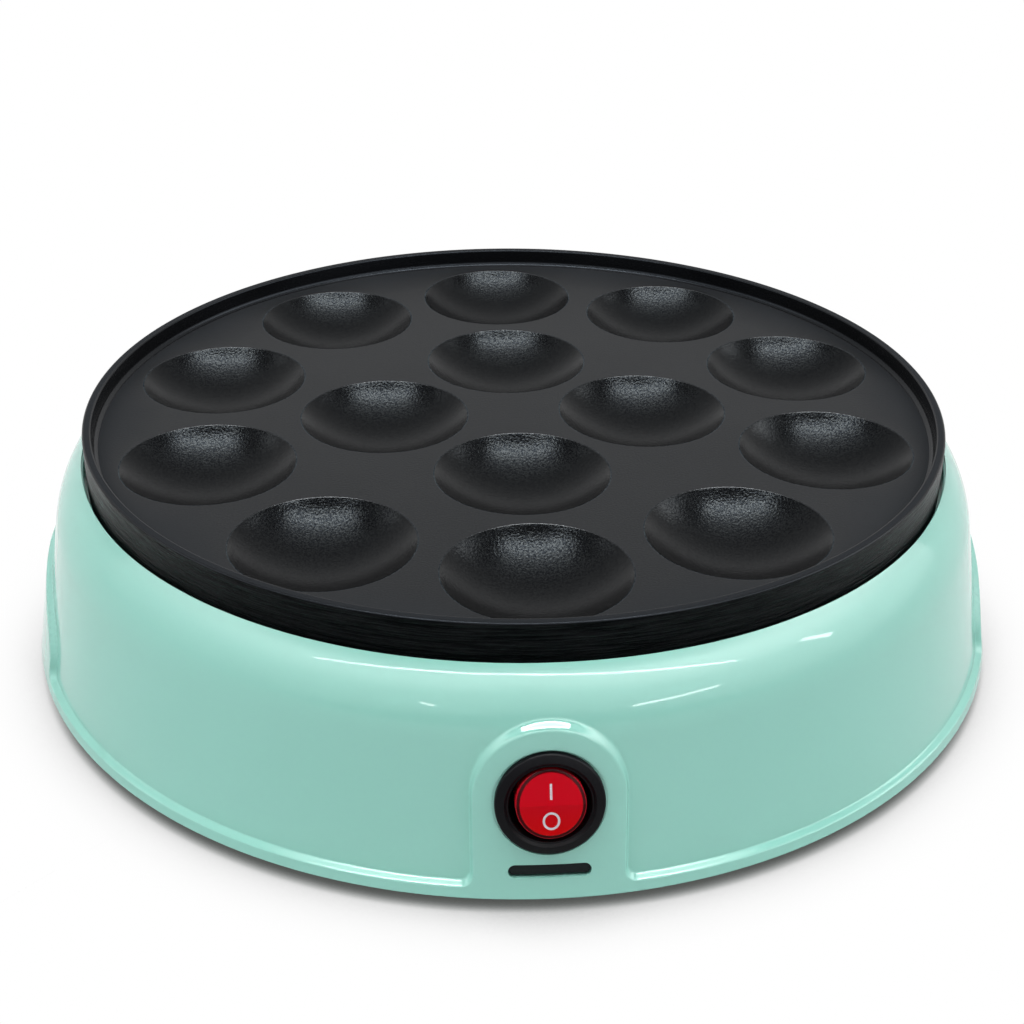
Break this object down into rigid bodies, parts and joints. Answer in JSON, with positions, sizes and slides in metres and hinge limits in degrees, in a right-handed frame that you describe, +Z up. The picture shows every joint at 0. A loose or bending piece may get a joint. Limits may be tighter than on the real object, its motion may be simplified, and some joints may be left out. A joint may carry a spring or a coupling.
{
  "type": "poffertjes maker",
  "caption": "Round countertop maker of small pancakes: a fixed cast plate of baking bowls in a moulded mint housing, with a lit rocker switch on a front pad and a vented base on rubber feet.",
  "frame": {"origin": "centre of the standing plane, below the middle of the baking plate", "axes": "+Z up, -Y towards the switch on the front, +X to the right of a person facing the switch"},
  "size_m": [0.2488, 0.2496, 0.061],
  "materials": {
    "mint_plastic": "glossy moulded mint plastic",
    "dark_plastic": "matt black moulding",
    "foot_rubber": "soft matt rubber",
    "screw_steel": "zinc-plated steel",
    "coated_casting": "dark grey non-stick coat on a cast plate",
    "heater_steel": "heat-browned sheathed tube",
    "ceramic": "unglazed steatite",
    "tinned_steel": "bright stamped sheet",
    "bright_sheet": "bright rolled sheet",
    "mica": "pressed mica",
    "phenolic": "brown phenolic moulding",
    "brass": "drawn brass",
    "woven_sleeve": "woven glass sleeve",
    "gland_plastic": "matt moulding",
    "switch_black": "fine-grained black nylon",
    "rocker_red": "clear red lens plastic",
    "plunger_nylon": "white nylon",
    "spring_steel": "spring wire",
    "contact_copper": "copper alloy strip",
    "lamp_glass": "glass glow lamp",
    "wire_brown": "insulated wire",
    "wire_black": "insulated wire",
    "wire_blue": "insulated wire",
    "wire_green": "insulated wire"
  },
  "bodies": {
    "base": {"housing": "mint_plastic", "base_cover": "dark_plastic", "foot_1": "foot_rubber", "foot_2": "foot_rubber", "foot_3": "foot_rubber", "foot_4": "foot_rubber", "cover_screws": "screw_steel", "clip_screws": "screw_steel", "plate_screws": "screw_steel", "bracket_screws": "screw_steel", "fuse_clip_screw": "screw_steel", "block_screw": "screw_steel", "earth_screw": "screw_steel", "terminal_screws": "screw_steel", "baking_plate": "coated_casting", "heating_element": "heater_steel", "element_insulators": "ceramic", "terminal_block": "ceramic", "element_tabs": "tinned_steel", "element_clips": "tinned_steel", "thermostat_bracket": "tinned_steel", "fuse_clip": "tinned_steel", "earth_lug": "tinned_steel", "reflector_pan": "bright_sheet", "thermostat_cap": "bright_sheet", "plate_washers": "mica", "thermostat_body": "phenolic", "thermostat_tabs": "brass", "terminal_sleeves": "brass", "live_tab": "brass", "load_tab": "brass", "lamp_tab": "brass", "thermal_fuse": "brass", "fuse_sleeve": "woven_sleeve", "cord_gland": "gland_plastic", "switch_body": "switch_black", "switch_lamp": "lamp_glass", "live_wire": "wire_brown", "switched_wire": "wire_black", "fuse_wire": "wire_black", "element_wire": "wire_black", "neutral_wire": "wire_blue", "lamp_wire": "wire_blue", "earth_wire": "wire_green"},
    "rocker": {"switch_rocker": "rocker_red", "contact_spring": "spring_steel"},
    "plunger": {"contact_plunger": "plunger_nylon"},
    "blade": {"contact_blade": "contact_copper"}
  },
  "joints": [
    {"name": "rocker_press", "type": "hinge", "parent": "base", "child": "rocker", "pos_m": [0, -0.11788, 0.02485], "axis": [1, 0, 0], "range_deg": [0, 22]},
    {"name": "plunger_slide", "type": "slide", "parent": "rocker", "child": "plunger", "axis": [0, -0.9323, 0.3616], "range_m": [0, 0.0008], "stiffness_N_per_m": 300, "springref_m": -0.002, "deforming": ["contact_spring"]},
    {"name": "blade_seesaw", "type": "hinge", "parent": "base", "child": "blade", "pos_m": [0, -0.10804, 0.02307], "axis": [1, 0, 0], "range_deg": [-12, 0]}
  ],
  "couplings": [
    {"joint": "blade_seesaw", "follows": "rocker_press", "ratio": -0.54545}
  ]
}
